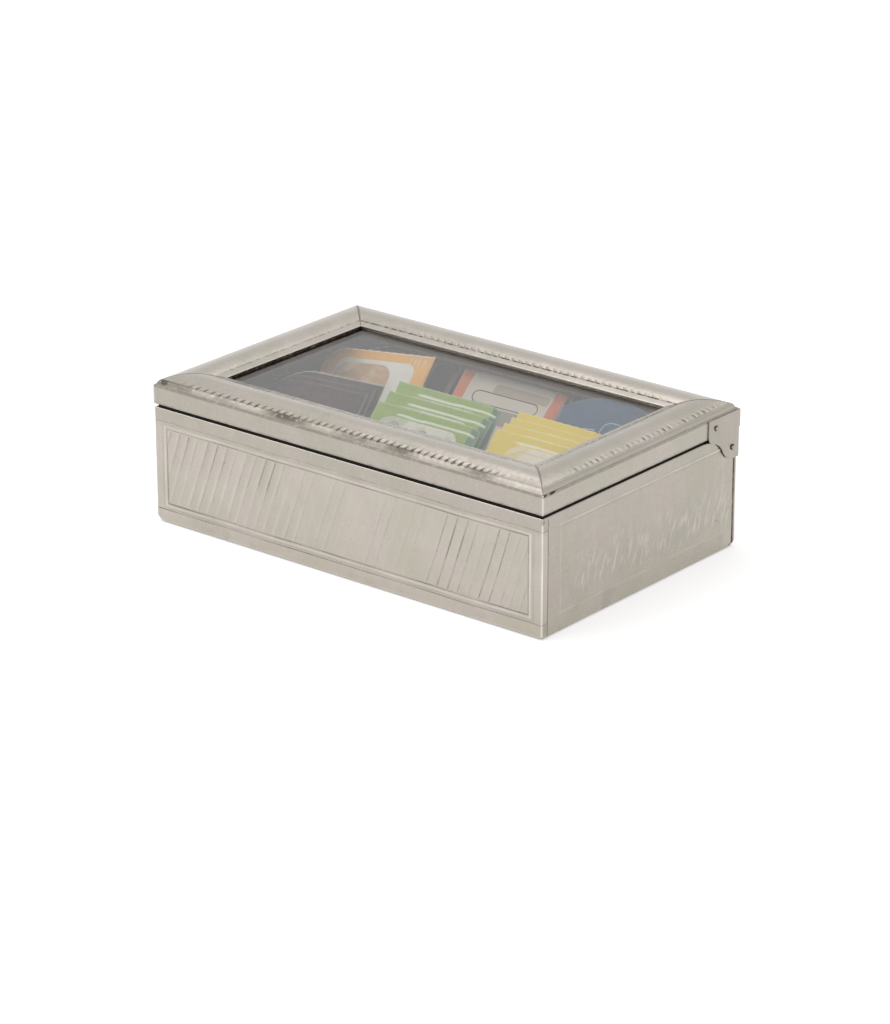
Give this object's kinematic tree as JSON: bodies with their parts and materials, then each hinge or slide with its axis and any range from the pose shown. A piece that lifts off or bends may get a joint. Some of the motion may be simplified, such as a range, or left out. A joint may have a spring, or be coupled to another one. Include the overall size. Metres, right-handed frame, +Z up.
{
  "type": "tea bag box",
  "caption": "Low tabletop box for tea sachets: wood clad in pressed metal, with a glazed lid on shaped end hinges over felt-lined, divided compartments with paper sachets.",
  "frame": {"origin": "middle of the rest face, the underside of the felt under the box", "axes": "+X along the long side to the right, +Y to the hinged back, +Z up; the front faces -Y"},
  "size_m": [0.2434, 0.1536, 0.0758],
  "materials": {
    "pressed_metal": "thin nickel-coloured sheet, satin, pressed and lightly dented by hand, dark in its creases",
    "hinge_metal": "satin nickel-coloured sheet",
    "pin_metal": "satin domed heads",
    "carcass_wood": "plain unfinished softwood",
    "divider_wood": "thin board stained dark, matt",
    "bead_wood": "painted dark, matt",
    "dark_felt": "dark grey flock, matt",
    "glass": "clear flat glass",
    "paper_plum": "printed coated paper, dark plum",
    "paper_green": "printed coated paper, green",
    "paper_yellow": "printed coated paper, yellow",
    "paper_orange": "printed coated paper, orange",
    "paper_brown": "printed coated paper, brown",
    "paper_white": "printed coated paper, white with orange edges",
    "paper_blue": "printed coated paper, blue"
  },
  "bodies": {
    "box": {"base_board": "carcass_wood", "base_felt": "dark_felt", "cladding_back": "pressed_metal", "cladding_front": "pressed_metal", "cladding_left": "pressed_metal", "cladding_right": "pressed_metal", "cross_divider_left": "divider_wood", "cross_divider_right": "divider_wood", "lining_back": "dark_felt", "lining_floor": "dark_felt", "lining_front": "dark_felt", "lining_left": "dark_felt", "lining_right": "dark_felt", "long_divider": "divider_wood", "pivot_pins": "pin_metal", "rim_felt_front": "dark_felt", "rim_felt_left": "dark_felt", "rim_felt_right": "dark_felt", "sachets_blue": "paper_blue", "sachets_brown": "paper_brown", "sachets_green": "paper_green", "sachets_orange": "paper_orange", "sachets_plum": "paper_plum", "sachets_white": "paper_white", "sachets_yellow": "paper_yellow", "wall_board_back": "carcass_wood", "wall_board_front": "carcass_wood", "wall_board_left": "carcass_wood", "wall_board_right": "carcass_wood"},
    "lid": {"ear_rivets": "pin_metal", "glass_pane": "glass", "glazing_bead_back": "bead_wood", "glazing_bead_front": "bead_wood", "glazing_bead_left": "bead_wood", "glazing_bead_right": "bead_wood", "hinge_ear_left": "hinge_metal", "hinge_ear_right": "hinge_metal", "lid_rail_back": "carcass_wood", "lid_rail_front": "carcass_wood", "lid_rail_left": "carcass_wood", "lid_rail_right": "carcass_wood", "lid_strip_back": "pressed_metal", "lid_strip_front": "pressed_metal", "lid_strip_left": "pressed_metal", "lid_strip_right": "pressed_metal", "moulding_back": "pressed_metal", "moulding_front": "pressed_metal", "moulding_left": "pressed_metal", "moulding_right": "pressed_metal"}
  },
  "joints": [
    {"name": "lid_hinge", "type": "hinge", "parent": "box", "child": "lid", "pos_m": [0, 0.0712, 0.0524], "axis": [-1, 0, 0], "range_deg": [0, 112]}
  ]
}
